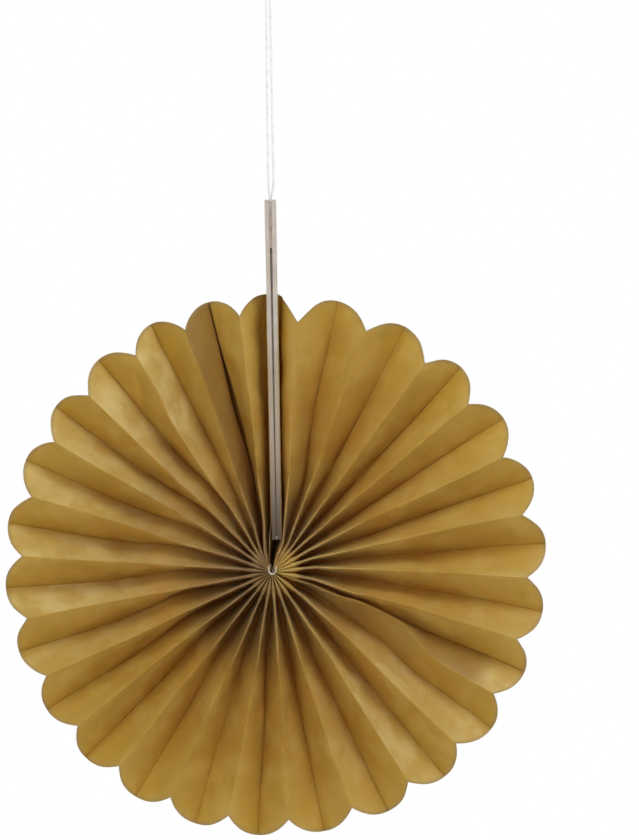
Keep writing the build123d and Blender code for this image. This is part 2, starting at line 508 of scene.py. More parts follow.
@dataclass(frozen=True)
class TapeFinish(Finish):
    """Double-sided tape seen at its edge: brownish foam, dulled by dust."""

    name: str = "tape_edge"
    roughness: tuple[float, float] = (0.45, 0.7)
    sheen: float = 0.0
    bump: float = 0.3
    depth: float = 0.08 * MM
    fibres: tuple[float, float] = (240.0, 3000.0)
    tones: tuple = ((0.35, (0.26, 0.205, 0.165)), (0.65, (0.40, 0.335, 0.285)))

    def make(self) -> bpy.types.Material:
        """Build the material.

        Returns:
            The material.
        """
        ground, material, shader, place = self.start()
        fibre = self.fibre(ground, place)
        colour = ground.ramp(fibre.outputs["Mottle"], self.tones)
        ground.join(colour, shader.inputs["Base Color"])
        gloss = ground.span(fibre.outputs["Height"], *self.roughness)
        ground.join(gloss, shader.inputs["Roughness"])
        self.relief(ground, fibre.outputs["Height"], shader)
        return material


@dataclass(frozen=True)
class CottonFinish(Finish):
    """White spun cotton, with fine fibres along each ply and softer tufts."""

    name: str = "white_cotton"
    roughness: tuple[float, float] = (0.7, 0.88)
    sheen: float = 0.35
    bump: float = 0.5
    depth: float = 0.06 * MM
    fibres: tuple[float, float] = (700.0, 5200.0)
    shade: tuple = (0.78, 0.77, 0.75)
    light: tuple = (0.88, 0.875, 0.86)

    def make(self) -> bpy.types.Material:
        """Build the material.

        Returns:
            The material.
        """
        ground, material, shader, place = self.start()
        tufts = ground.noise(place, self.fibres[0])
        fibres = ground.noise(place, self.fibres[1], detail=4.0)
        colour = ground.ramp(tufts, ((0.35, self.shade), (0.6, self.light)))
        ground.join(colour, shader.inputs["Base Color"])
        ground.join(ground.span(fibres, *self.roughness), shader.inputs["Roughness"])
        self.relief(ground, fibres, shader)
        return material


def piece(name: str, points: np.ndarray, faces: list, finish: bpy.types.Material) -> bpy.types.Object:
    """Make a smooth-shaded mesh piece.

    Args:
        name: the piece's name.
        points: its vertices, one row each.
        faces: its faces, as rows of vertex numbers.
        finish: its material.

    Returns:
        The new object.
    """
    mesh = bpy.data.meshes.new(name)
    mesh.from_pydata(points.tolist(), [], faces)
    mesh.polygons.foreach_set("use_smooth", [True] * len(mesh.polygons))
    mesh.materials.append(finish)
    mesh.update()
    made = bpy.data.objects.new(name, mesh)
    bpy.context.scene.collection.objects.link(made)
    return made


def stand_for(made: bpy.types.Object, node: str) -> None:
    """Let a piece stand for a solid.

    Args:
        made: the piece.
        node: the solid's node.
    """
    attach(made, ROOT_BODY)
    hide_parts(node)


class Fold(Enum):
    """What a line that runs from the hub to the rim is."""

    EDGE = "the sheet's end, along a strip's front edge"
    STRIP = "a fold along a strip's back edge"
    MOUNTAIN = "a fold towards the viewer"
    VALLEY = "a fold away from the viewer"
    TUCK = "the bottom of a small extra pleat"


@dataclass(frozen=True)
class FoldLine:
    """One line of the sheet: its kind, its place at the rim and its number in clockwise order."""

    kind: Fold
    degrees: float
    number: int

    @property
    def high(self) -> bool:
        """Whether the line stands towards the viewer."""
        return self.kind in (Fold.MOUNTAIN, Fold.EDGE)


@dataclass(frozen=True)
class Quirk:
    """A stretch about a radius where one fold leans aside by some degrees, or is pressed back.

    The radius and its spread are in millimetres.
    """

    number: int
    radius: float
    spread: float
    degrees: float = 0.0
    press: float = 0.0

    def share(self, radii: np.ndarray) -> np.ndarray:
        """How much of the quirk shows at each radius, from 0 to 1."""
        return Swell(self.radius * MM, self.spread * MM, power=6).at(radii)


@dataclass(frozen=True)
class Dent:
    """A soft dent in a panel: its place across, its radius, its reach and its height.

    All but the place across, a share of the panel, are in millimetres.
    """

    panel: int
    share: float
    radius: float
    reach: tuple[float, float]
    height: float

    def lift(self, share: np.ndarray, radii: np.ndarray, width: float) -> np.ndarray:
        """How far the dent moves its panel.

        Args:
            share: places across the panel.
            radii: distances from the hub.
            width: the panel's width.

        Returns:
            The lift at each place.
        """
        wide, tall = self.reach
        aside = (share - self.share) * width / (wide * MM)
        along = (radii - self.radius * MM) / (tall * MM)
        return self.height * MM * np.exp(-(aside**2) - along**2)


@dataclass(frozen=True)
class Patch:
    """A toned part of the sheet: its middle and spread in degrees, its radii and its strength.

    The two radii are in millimetres. It may lie on one half of each petal alone, the one that
    starts at a ridge.
    """

    degrees: float
    spread: float
    low: float
    high: float
    strength: float
    one_half: bool = False

    def share(self, start: FoldLine, radii: np.ndarray) -> np.ndarray:
        """How much of the tone a panel shows at each radius.

        Args:
            start: the panel's first line.
            radii: distances from the hub.

        Returns:
            Shares from 0 to the patch's strength.
        """
        if self.one_half and not start.high:
            return np.zeros_like(radii)
        turn = (start.degrees - self.degrees + FULL_TURN / 2.0) % FULL_TURN - FULL_TURN / 2.0
        low, high = self.low * MM, self.high * MM
        inside = Plateau(0.6 * low, 1.2 * low, 0.8 * high, 1.2 * high, self.strength)
        return Swell(0.0, self.spread).at(turn) * inside.at(radii)


@dataclass(frozen=True)
class LayerShadeStretch:
    """A stretch of one panel painted darker, as painted shade for a second layer of tissue behind it,
    its radii in millimetres.
    """

    panel: int
    low: float
    high: float
    strength: float
    margin: float = 6.0

    def share(self, radii: np.ndarray) -> np.ndarray:
        """How much of the painted shade for the second layer shows at each radius."""
        start, end = self.low - self.margin, self.high + self.margin
        return Plateau(start * MM, self.low * MM, self.high * MM, end * MM, self.strength).at(radii)


@dataclass
class PleatLines:
    """The lines that run from the hub to the rim: the sheet's two ends, its folds and its tuck.

    Angles are seen from the hub, clockwise from +Z, in degrees. Swells and plateaus lie over angles
    where they tell one fold from another, and over radii where they act along a fold.
    """

    # The sheet, and the strips that its ends are glued to.
    tip_radius: float = 76.64 * MM
    panel_width: float = 12.4 * MM
    panel_slack: float = 0.02
    slack_span: Span = mm_span(20.0, 62.0)
    thickness: float = 0.12 * MM
    strip_thickness: float = 1.2 * MM
    foot_clearance: float = 0.1 * MM
    back_gap: float = 0.05
    hub_gap: float = 17.0
    hub_radius: float = 3.0 * MM
    closing: float = 0.4 * MM
    peel: float = 3.7
    peel_power: float = 1.5
    peel_span: Span = mm_span(9.0, 15.0)
    strip_reach: float = 45.0
    # Where the ridges stand at the rim.
    first_ridge: float = 6.9
    pitches: tuple = (
        15.5, 15.0, 13.3, 14.0, 13.7, 14.0, 14.1, 13.3, 14.3, 14.1, 14.5, 14.4, 14.0,
        14.4, 13.9, 13.6, 13.1, 14.3, 14.3, 13.7, 13.6, 12.8, 13.9, 13.0, 12.3,
    )
    # How the folds swing round, bend, waver and crowd on their way to the hub.
    drifts: tuple = (Swell(98.0, 42.0, -7.5), Swell(298.0, 24.0, 3.0))
    drift_stop: float = 12.0 * MM
    bend: Swell = Swell(26.0 * MM, 9.0 * MM, 0.9)
    wave: float = 0.35
    wave_run: float = 11.0 * MM
    wave_turn: float = 3.0
    crowd: Swell = Swell(354.0, 35.0, -4.0)
    crowd_radii: tuple[float, float] = (10.0 * MM, 6.0 * MM)
    crowd_power: float = 1.6
    # Where the valleys lie over towards a ridge, and where they stand half open.
    lie_left: Plateau = Plateau(150.0, 265.0, 318.0, 345.0, 5.0)
    lie_right: Swell = Swell(14.0, 8.0, 4.0)
    lie_reach: Swell = Swell(22.0 * MM, 13.0 * MM)
    shallow_left: Plateau = Plateau(225.0, 285.0, 338.0, 347.0, 5.5 * MM)
    shallow_right: Swell = Swell(80.0, 35.0, 2.5 * MM)
    shallow_start: Span = mm_span(12.0, 18.0)
    shallow_end: Span = mm_span(30.0, 44.0)
    # How uneven the folds are in depth, and how far they come forward at the hub.
    uneven_depth: float = 0.07
    uneven_span: Span = mm_span(15.0, 50.0)
    hub_lift: float = 0.5 * MM
    hub_lift_span: Span = mm_span(2.0, 9.0)
    # The small extra pleat, which opens as a slit between its two valleys.
    tuck_petal: int = 25
    tuck_offsets: tuple = (0.1, 0.3, 0.5)
    tuck_depth: float = 1.6 * MM
    tuck_back: float = 0.2 * MM
    tuck_start: Span = mm_span(22.0, 30.0)
    tuck_end: Span = mm_span(56.0, 70.0)
    tuck_flatness: float = 0.7
    slit: Swell = Swell(45.0 * MM, 15.0 * MM, 1.05)
    slit_left: float = -0.4
    slit_swing: float = 2.6
    swing_span: Span = mm_span(22.0, 50.0)
    # The folds that lean or are pressed back, each in its own way.
    quirks: tuple = (
        Quirk(16, 15.0, 11.0, degrees=1.8),
        Quirk(18, 20.0, 25.0, degrees=-6.8, press=0.15),
        Quirk(18, 14.0, 9.0, degrees=1.6),
        Quirk(18, 58.0, 15.0, press=0.12),
        Quirk(19, 27.0, 17.0, degrees=-2.4),
        Quirk(48, 40.0, 16.0, degrees=-1.4),
    )
    seed: int = 11

    def __post_init__(self) -> None:
        """Take the strips' faces from their solids, and number the sheet's lines."""
        left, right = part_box("left_strip"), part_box("right_strip")
        self.strip_foot, self.strip_top = right[0].z, right[1].z
        self.strip_half = right[1].y
        self.top_faces = {1: right[1].x, -1: left[0].x}
        self.foot_faces = {
            1: right[0].x + self.strip_thickness,
            -1: left[1].x - self.strip_thickness,
        }
        self.foot_radius = math.hypot(self.strip_foot, self.foot_faces[1]) + self.foot_clearance
        self.half_pitch = math.radians(FULL_TURN / 2.0 / (len(self.pitches) + 1))
        self.lines = self.number_lines()
        self.tuck_line = [line.kind for line in self.lines].index(Fold.TUCK)
        random = np.random.default_rng(self.seed)
        self.unevenness = random.uniform(-1.0, 1.0, (len(self.lines), 4))

    def number_lines(self) -> list[FoldLine]:
        """List the sheet's lines clockwise, from the right strip to the left one.

        Returns:
            The lines, with a tuck in place of one valley.
        """
        ridges = [self.first_ridge]
        for pitch in self.pitches:
            ridges.append(ridges[-1] + pitch)
        kinds = [(Fold.EDGE, 0.0), (Fold.STRIP, 0.0), (Fold.MOUNTAIN, ridges[0])]
        for petal, (start, end) in enumerate(zip(ridges, ridges[1:]), 1):
            middle = (start + end) / 2.0
            if petal == self.tuck_petal:
                folds = (Fold.VALLEY, Fold.TUCK, Fold.VALLEY)
                kinds += [(fold, middle + turn) for fold, turn in zip(folds, self.tuck_offsets)]
            else:
                kinds.append((Fold.VALLEY, middle))
            kinds.append((Fold.MOUNTAIN, end))
        kinds += [(Fold.STRIP, FULL_TURN), (Fold.EDGE, FULL_TURN)]
        return [FoldLine(kind, degrees, number) for number, (kind, degrees) in enumerate(kinds)]

    def strip_degrees(self, side: int, radii: np.ndarray, back: bool = False) -> np.ndarray:
        """Angle of the face that an end panel is glued to.

        Below the strips' feet the end panels meet at the back, and the left one's front edge peels
        away.

        Args:
            side: 1 for the right strip and -1 for the left one.
            radii: distances from the hub.
            back: whether the angle is that of the fold at the back.

        Returns:
            The angle at each radius.
        """
        foot, top = self.foot_faces[side], self.top_faces[side]
        share = (radii - self.strip_foot) / (self.strip_top - self.strip_foot)
        face = foot + (top - foot) * np.maximum(share, 0.0) + side * self.thickness
        outside = np.degrees(np.arcsin(face / np.maximum(radii, self.strip_foot)))
        if back:
            middle = math.degrees(math.asin(sum(self.foot_faces.values()) / 2.0 / self.strip_foot))
            inside = middle * radii / self.strip_foot + side * self.back_gap
            opening = Span(self.foot_radius - self.closing, self.foot_radius)
            return inside + (outside - inside) * opening.rise(radii)
        if side > 0:
            below = Span(self.hub_radius, self.foot_radius)
            return outside + (self.hub_gap - outside) * below.fall(radii)
        peel = self.peel * (self.strip_foot / np.maximum(radii, self.hub_radius)) ** self.peel_power
        return outside - peel * self.peel_span.fall(radii)

    def line_degrees(self, line: FoldLine, radii: np.ndarray) -> np.ndarray:
        """Angle of a line at each radius.

        Args:
            line: the line.
            radii: distances from the hub.

        Returns:
            The angle at each radius, kept clear of the strips' faces.
        """
        if line.kind in (Fold.EDGE, Fold.STRIP):
            back = line.kind is Fold.STRIP
            if line.degrees < FULL_TURN / 2.0:
                return self.strip_degrees(1, radii, back)
            return FULL_TURN + self.strip_degrees(-1, radii, back)
        bend, wave, phase, _ = self.unevenness[line.number]
        degrees = line.degrees + self.drift(line.degrees, radii) + bend * self.bend.at(radii)
        degrees = degrees + self.wave * wave * np.sin(radii / self.wave_run + self.wave_turn * phase)
        degrees = degrees + self.crowding(line.degrees, radii)
        if self.in_tuck(line):
            degrees = degrees + self.parting(line, radii)
        elif line.kind is Fold.VALLEY:
            degrees = degrees + self.lie(line, radii)
        for quirk in self.quirks:
            if quirk.number == line.number:
                degrees = degrees + quirk.degrees * quirk.share(radii)
        right, right_rim = self.strip_degrees(1, radii), self.strip_degrees(1, self.tip_radius)
        left = FULL_TURN + self.strip_degrees(-1, radii)
        left_rim = FULL_TURN + self.strip_degrees(-1, self.tip_radius)
        reach, stop = self.strip_reach, FULL_TURN - self.strip_reach
        if line.degrees < reach:
            return right + (degrees - right_rim) * (reach - right) / (reach - right_rim)
        if line.degrees > stop:
            return left - (left_rim - degrees) * (left - stop) / (left_rim - stop)
        return degrees

    def drift(self, degrees: float, radii: np.ndarray) -> np.ndarray:
        """How far a fold has swung round at each radius, most of all at the hub.

        Args:
            degrees: the fold's place at the rim.
            radii: distances from the hub.

        Returns:
            The swing at each radius.
        """
        rim, near = 1.0 / self.tip_radius, 1.0 / self.drift_stop
        closeness = (1.0 / np.maximum(radii, self.drift_stop) - rim) / (near - rim)
        return sum(swell.at(degrees) for swell in self.drifts) * closeness

    def crowding(self, degrees: float, radii: np.ndarray) -> np.ndarray:
        """How far the folds beside the left strip are pushed back near the hub."""
        radius, stop = self.crowd_radii
        return self.crowd.at(degrees) * (radius / np.maximum(radii, stop)) ** self.crowd_power

    def lie(self, line: FoldLine, radii: np.ndarray) -> np.ndarray:
        """How far a valley lies over towards the next ridge near the hub."""
        turn = self.lie_left.at(line.degrees) + self.lie_right.at(line.degrees)
        return turn * self.lie_reach.at(radii)

    def shallowness(self, line: FoldLine, radii: np.ndarray) -> np.ndarray:
        """How far a valley comes forward where the pleats lie over or stand half open."""
        right = self.shallow_right.at(line.degrees) * self.shallow_start.rise(radii)
        return (self.shallow_left.at(line.degrees) + right) * self.shallow_end.fall(radii)

    def in_tuck(self, line: FoldLine) -> bool:
        """Whether the line is one of the two valleys beside the tuck's bottom."""
        beside = {line.number - 1, line.number + 1}
        return line.kind is Fold.VALLEY and self.tuck_line in beside

    def parting(self, line: FoldLine, radii: np.ndarray) -> np.ndarray:
        """Extra degrees that part the tuck's two valleys into a lens and swing them round."""
        side = 1.0 if line.number > self.tuck_line else self.slit_left
        return side * self.slit.at(radii) + self.slit_swing * self.swing_span.fall(radii)

    def line_depth(self, line: FoldLine, radii: np.ndarray) -> np.ndarray:
        """Place of a line along Y at each radius.

        Args:
            line: the line.
            radii: distances from the hub.

        Returns:
            The place at each radius, less than 0 towards the viewer.
        """
        if line.kind is Fold.STRIP:
            return np.full_like(radii, self.strip_half - self.thickness)
        if line.kind is Fold.EDGE:
            return np.full_like(radii, -self.strip_half + self.thickness)
        width = self.panel_width * (1.0 - self.panel_slack * self.slack_span.rise(radii))
        half = np.sqrt(width**2 - (2.0 * radii * math.sin(self.half_pitch / 2.0)) ** 2) / 2.0
        uneven = self.uneven_depth * self.unevenness[line.number][3]
        half = half * (1.0 + uneven * self.uneven_span.rise(radii))
        if line.kind is Fold.MOUNTAIN:
            for quirk in self.quirks:
                if quirk.number == line.number:
                    half = half * (1.0 - 2.0 * quirk.press * quirk.share(radii))
            return -half - self.hub_lift * self.hub_lift_span.fall(radii)
        flat = 1.0 - self.tuck_flatness * self.tuck_end.rise(radii)
        opened = self.tuck_depth * self.tuck_start.rise(radii) * flat
        if line.kind is Fold.TUCK:
            return half + self.tuck_back + opened
        if self.in_tuck(line):
            return half - opened
        return half - self.shallowness(line, radii)

    def line_points(self, line: FoldLine, radii: np.ndarray) -> np.ndarray:
        """Points of a line at each radius.

        Args:
            line: the line.
            radii: distances from the hub, in any shape.

        Returns:
            An array of that shape with one more axis, for X, Y and Z.
        """
        angle = np.radians(self.line_degrees(line, radii))
        depth = self.line_depth(line, radii)
        return np.stack([radii * np.sin(angle), depth, radii * np.cos(angle)], axis=-1)


@dataclass
class FoldedSheet(PleatLines):
    """The tissue sheet: accordion panels with a scalloped edge, opened in a full circle."""

    # The flat sheet's height, and its inner and outer edge.
    flat_height: float = 74.6 * MM
    inner_radius: float = 0.9 * MM
    inner_closing: float = 0.8 * MM
    rim_shift: float = 1.99 * MM
    rim_shift_degrees: float = 29.3
    scallop_depth: float = 5.4 * MM
    scallop_growth: float = 0.45 * MM
    scallop_power: float = 2.4
    straight_power: float = 1.15
    notch: Swell = Swell(6.9, 2.6, 2.0 * MM)
    # Rows of points from the hub to the rim, and places across each panel.
    rows: int = 66
    row_power: float = 1.15
    shares: tuple = (0.0, 0.03, 0.08, 0.16, 0.26, 0.38, 0.5, 0.62, 0.74, 0.84, 0.92, 0.97, 1.0)
    # How the panels puff, belly out beside the strips, and roll round the folds at the hub.
    puff: float = 0.3 * MM
    puff_unevenness: float = 0.9
    puff_span: Span = mm_span(14.0, 42.0)
    belly: tuple[float, float] = (0.48, 0.2)
    belly_at_rim: float = 0.7
    belly_span: Span = mm_span(14.0, 34.0)
    nose: float = 0.26 * MM
    nose_share: float = 0.2
    nose_gap: float = 0.07 * MM
    nose_end: Span = mm_span(14.0, 28.0)
    packed_nose: tuple[float, float] = (0.5 * MM, 0.26 * MM)
    packed_end: Span = mm_span(5.0, 9.5)
    packing: Swell = Swell(78.0, 70.0)
    # Wavelength and height of the paper's ripples, and the single dents.
    ripples: tuple = ((13.0 * MM, 0.22 * MM), (4.5 * MM, 0.05 * MM))
    ripple_start: Span = mm_span(10.0, 35.0)
    dents: tuple = (
        Dent(4, 0.72, 73.5, (3.5, 2.2), -0.55),
        Dent(47, 0.45, 66.0, (4.0, 6.0), -0.7),
        Dent(47, 0.6, 58.0, (3.0, 5.0), 0.5),
        Dent(3, 0.12, 52.0, (0.5, 7.0), 0.35),
    )
    # What the tissue's finish reads: painted shade in the valley creases, the cut edge, painted light
    # and painted shade about the hub and in the tuck, painted sheen on upward-facing panels, and painted
    # shade for a second layer.
    # Width of the painted shade along the valley creases, and the radii over which it sets in.
    valley_mark: float = 0.22 * MM
    valley_start: Span = mm_span(8.0, 20.0)
    cut_mark: float = 0.16 * MM
    # Radii over which the painted light on the packed folds at the hub dies away.
    painted_hub_light_end: Span = mm_span(5.5, 10.0)
    # Painted shade in the tuck's slit, and in patches of pockets about the hub.
    tuck_painted_shade: float = 0.85
    painted_shade_patches: tuple = (
        Patch(218.0, 38.0, 6.0, 25.0, 0.45),
        Patch(290.0, 45.0, 2.5, 8.0, 0.3),
        Patch(300.0, 34.0, 8.0, 44.0, 0.28, one_half=True),
    )
    # Painted sheen: how pale the upward-facing panels are painted everywhere, and in patches about given
    # angles.
    even_painted_sheen: float = 0.15
    pale: tuple = (
        Patch(258.0, 17.0, 40.0, 90.0, 1.0),
        Patch(325.0, 17.0, 44.0, 90.0, 1.0),
        Patch(292.0, 18.0, 40.0, 90.0, 0.6),
        Patch(136.0, 22.0, 36.0, 90.0, 0.8),
        Patch(10.0, 14.0, 50.0, 90.0, 0.8),
        Patch(112.0, 4.0, 74.0, 90.0, 1.0),
    )
    sheen_facing: tuple = (0.7, 0.0, 1.15)
    sheen_facing_span: Span = Span(0.25, 0.95)
    # Painted shade on stretches of three panels, standing for a second layer of tissue behind them.
    layer_shade_stretches: tuple = (
        LayerShadeStretch(50, 0.0, 80.0, 1.0),
        LayerShadeStretch(18, 24.0, 44.0, 0.4),
        LayerShadeStretch(17, 40.0, 63.0, 0.75),
    )
    # The share of the rows after which the ridges are creased sharply too.
    crisp_start: float = 0.4

    def rim(self, start: FoldLine, end: FoldLine, share: np.ndarray, drop: np.ndarray) -> np.ndarray:
        """Radius of the scalloped edge across a panel.

        Args:
            start: the panel's first line.
            end: its second line.
            share: places across the panel, from 0 at the first line to 1 at the second.
            drop: 1 at a ridge and 0 at a valley.

        Returns:
            The edge's radius at each place.
        """
        degrees = start.degrees + (end.degrees - start.degrees) * share
        toward = np.cos(np.radians(degrees - self.rim_shift_degrees))
        power = self.straight_power if start.number == 1 else self.scallop_power
        scallop = (self.scallop_depth + self.scallop_growth * toward) * drop**power
        return self.tip_radius + self.rim_shift * toward - scallop - self.notch.at(degrees)

    def panel(self, start: FoldLine, end: FoldLine) -> dict[str, np.ndarray]:
        """Points and marks of one panel.

        Args:
            start: the panel's first line.
            end: its second line, next to it clockwise.

        Returns:
            Arrays of rows by places: the points, and the marks that the tissue's finish reads.
        """
        share = np.array(self.shares)[None, :]
        rise = share if start.high else 1.0 - share
        # Beside the tuck's bottom both lines lie low.
        if start.high == end.high:
            rise = np.ones_like(share)
        belly = self.belly_share(start, end) * np.sin(math.pi * (1.0 - rise) ** 2)
        aside = self.belly_at_rim * belly
        seen = share + aside if start.high else share - aside
        rim = self.rim(start, end, seen, 1.0 - rise - aside)
        inner = self.inner_radius - self.inner_closing * rise
        steps = (np.arange(self.rows + 1) / self.rows)[:, None] ** self.row_power
        radii = inner + steps * (rim - inner)
        # The flat between the two lines, and the direction that stands square off it.
        first, second = self.line_points(start, radii), self.line_points(end, radii)
        across = second - first
        angle = np.radians((self.line_degrees(start, radii) + self.line_degrees(end, radii)) / 2.0)
        tangent = np.stack([np.cos(angle), np.zeros_like(angle), -np.sin(angle)], axis=-1)
        turn = (across * tangent).sum(axis=-1)
        reach = np.hypot(across[..., 1], turn)[..., None]
        outward = (across[..., 1:2] * tangent) / reach
        outward[..., 1] -= turn / reach[..., 0]
        lift = self.panel_lift(start, end, share, rise, radii)
        lift = lift + belly * np.clip(turn, 0.0, None) * self.belly_span.rise(radii)
        marks = self.marks(start, end, rise, radii, rim)
        return {"points": first + across * share[..., None] + outward * lift[..., None], **marks}

    def marks(
        self, start: FoldLine, end: FoldLine, rise: np.ndarray, radii: np.ndarray, rim: np.ndarray
    ) -> dict[str, np.ndarray]:
        """Numbers that the tissue's finish reads from a panel's points.

        Args:
            start: the panel's first line.
            end: its second line.
            rise: places across the panel, from 0 at a ridge to 1 at a valley.
            radii: distance of each point from the hub.
            rim: radius of the cut edge at each place.

        Returns:
            One array for each mark: how near a valley or the cut edge is, how far out the point
            lies, and how much painted hub light, painted layer shade, painted shade and painted sheen
            the tissue takes there.
        """
        # Painted shade along each valley crease, setting in away from the hub.
        opened = self.valley_start.rise(radii)
        valley = np.exp(-(((1.0 - rise) * self.panel_width / self.valley_mark) ** 2))
        # Painted shade in the pockets about the hub and in the tuck's slit.
        painted_shade = sum(patch.share(start, radii) for patch in self.painted_shade_patches)
        if Fold.TUCK in (start.kind, end.kind):
            painted_shade = painted_shade + self.tuck_painted_shade * opened
        painted_layer_shade = np.zeros_like(radii)
        for shade_stretch in self.layer_shade_stretches:
            if start.number == shade_stretch.panel:
                painted_layer_shade = shade_stretch.share(radii)
        return {
            "valley": valley * opened,
            "cut": np.exp(-(((rim - radii) / self.cut_mark) ** 2)),
            "reach": radii / rim,
            "painted_hub_light": self.packing.at(start.degrees) * self.painted_hub_light_end.fall(radii),
            "painted_layer_shade": painted_layer_shade,
            "painted_shade": painted_shade,
            "painted_sheen": self.even_painted_sheen + sum(patch.share(start, radii) for patch in self.pale),
        }

    def belly_share(self, start: FoldLine, end: FoldLine) -> float:
        """How far a panel bulges towards the strip it rises from, as a share of the gap there.

        Args:
            start: the panel's first line.
            end: its second line.

        Returns:
            The share, 0 for a panel that isn't beside a strip.
        """
        right, left = self.belly
        if start.kind is Fold.STRIP and end.high:
            return right
        if end.kind is Fold.STRIP and start.high:
            return left
        return 0.0

    def panel_lift(
        self,
        start: FoldLine,
        end: FoldLine,
        share: np.ndarray,
        rise: np.ndarray,
        radii: np.ndarray,
    ) -> np.ndarray:
        """How far a panel stands off the flat between its two lines, towards the viewer's side.

        Args:
            start: the panel's first line.
            end: its second line.
            share: places across the panel, from the first line to the second.
            rise: the same places, from 0 at a ridge to 1 at a valley.
            radii: distance of each point from the hub.

        Returns:
            The lift of each point.
        """
        glued = {start.kind, end.kind} == {Fold.EDGE, Fold.STRIP}
        if glued or Fold.TUCK in (start.kind, end.kind):
            return np.zeros_like(radii)
        puff = self.puff * (1.0 + self.puff_unevenness * self.unevenness[start.number][0])
        lift = puff * self.puff_span.rise(radii) * (1.0 - np.abs(2.0 * rise - 1.0) ** 3)
        lift = lift + self.nose_lift(start, rise, radii)
        window = np.sqrt(np.clip(np.sin(math.pi * share), 0.0, 1.0)) * self.ripple_start.rise(radii)
        length = (start.number + share) * self.panel_width
        for number, (wavelength, height) in enumerate(self.ripples):
            ripples = Ripples(self.seed + number, wavelength)
            lift = lift + window * height * ripples.at(length, radii)
        for dent in self.dents:
            if dent.panel == start.number:
                lift = lift + dent.lift(share, radii, self.panel_width)
        return lift

    def nose_lift(self, start: FoldLine, rise: np.ndarray, radii: np.ndarray) -> np.ndarray:
        """How far a panel swells beside its two folds near the hub, where they are rolled round.

        Args:
            start: the panel's first line.
            rise: places across the panel, from 0 at a ridge to 1 at a valley.
            radii: distance of each point from the hub.

        Returns:
            The lift of each point, less than 0 beside the valley.
        """
        least, extra = self.packed_nose
        packed = least + extra * self.packing.at(start.degrees)
        roll = packed + (self.nose - packed) * self.packed_end.rise(radii)
        room = np.clip(np.minimum(radii * self.half_pitch - self.nose_gap, roll), 0.0, None)
        front = np.sin(math.pi * np.clip(rise / self.nose_share, 0.0, 1.0))
        back = np.sin(math.pi * np.clip((1.0 - rise) / self.nose_share, 0.0, 1.0))
        return room * self.nose_end.fall(radii) * (front - back)

    def build(self, finish: bpy.types.Material) -> bpy.types.Object:
        """Build the sheet as one closed mesh.

        Args:
            finish: the tissue's material.

        Returns:
            The sheet, which stands for the folded solid.
        """
        panels = [self.panel(start, end) for start, end in zip(self.lines, self.lines[1:])]
        columns = {
            name: np.concatenate(
                [part[name][:, :-1] for part in panels] + [panels[-1][name][:, -1:]], axis=1
            )
            for name in panels[0]
        }
        middle = columns.pop("points")
        normal = np.cross(np.gradient(middle, axis=0), np.gradient(middle, axis=1))
        normal /= np.linalg.norm(normal, axis=-1, keepdims=True)
        half = self.thickness / 2.0
        sides = (middle - normal * half, middle + normal * half)
        points = np.concatenate([side.reshape(-1, 3) for side in sides])
        tall, wide = middle.shape[:2]
        sheet = piece("folded_tissue", points, self.closed_faces(tall, wide), finish)
        # Painted sheen: only panels that face up towards the lamps take the pale tone, and none where
        # painted layer shade lies.
        upward = self.sheen_facing_span.rise(-(normal * np.array(self.sheen_facing)).sum(axis=-1))
        columns["painted_sheen"] = upward * columns["painted_sheen"] * (1.0 - columns["painted_layer_shade"])
        for name, values in columns.items():
            mark = sheet.data.attributes.new(name, "FLOAT", "POINT")
            mark.data.foreach_set("value", np.tile(values.ravel(), 2))
        self.sharpen(sheet.data, tall, wide)
        stand_for(sheet, "paper_fan")
        # Two panels for each ridge, and the two that are glued to the strips.
        return sheet

    @staticmethod
    def closed_faces(tall: int, wide: int) -> list:
        """Faces of a sheet of two sides and the border that joins them.

        Args:
            tall: rows of points.
            wide: columns of points.

        Returns:
            The faces, as rows of vertex numbers, with the front side's points first.
        """
        number = np.arange(tall * wide).reshape(tall, wide)
        corners = [number[:-1, :-1], number[:-1, 1:], number[1:, 1:], number[1:, :-1]]
        front = np.stack([corner.ravel() for corner in corners], axis=1)
        back = front[:, ::-1] + tall * wide
        border = np.concatenate(
            [number[0, ::-1], number[1:, 0], number[-1, 1:], number[-2:0:-1, -1]]
        )
        after = np.roll(border, -1)
        edge = np.stack([border, after, after + tall * wide, border + tall * wide], axis=1)
        return np.concatenate([front, back, edge]).tolist()

    def sharpen(self, mesh: bpy.types.Mesh, tall: int, wide: int) -> None:
        """Mark the folds and the cut edge as sharp.

        Args:
            mesh: the sheet's mesh, front points first.
            tall: rows of points.
            wide: columns of points.
        """
        ends = np.zeros(len(mesh.edges) * 2, int)
        mesh.edges.foreach_get("vertices", ends)
        ends = ends.reshape(-1, 2)
        place = ends % (tall * wide)
        column, row = place % wide, place // wide
        step = len(self.shares) - 1
        along_fold = (column[:, 0] == column[:, 1]) & (column[:, 0] % step == 0)
        line = np.minimum(column[:, 0] // step, len(self.lines) - 1)
        crisp = np.array([not item.high for item in self.lines])[line]
        crisp |= row[:, 0] > self.crisp_start * tall
        on_edge = ((row == 0) | (row == tall - 1)).all(axis=1)
        sides = (ends[:, 0] >= tall * wide) != (ends[:, 1] >= tall * wide)
        mark = mesh.attributes.new("sharp_edge", "BOOLEAN", "EDGE")
        mark.data.foreach_set("value", (along_fold & crisp) | on_edge | sides)


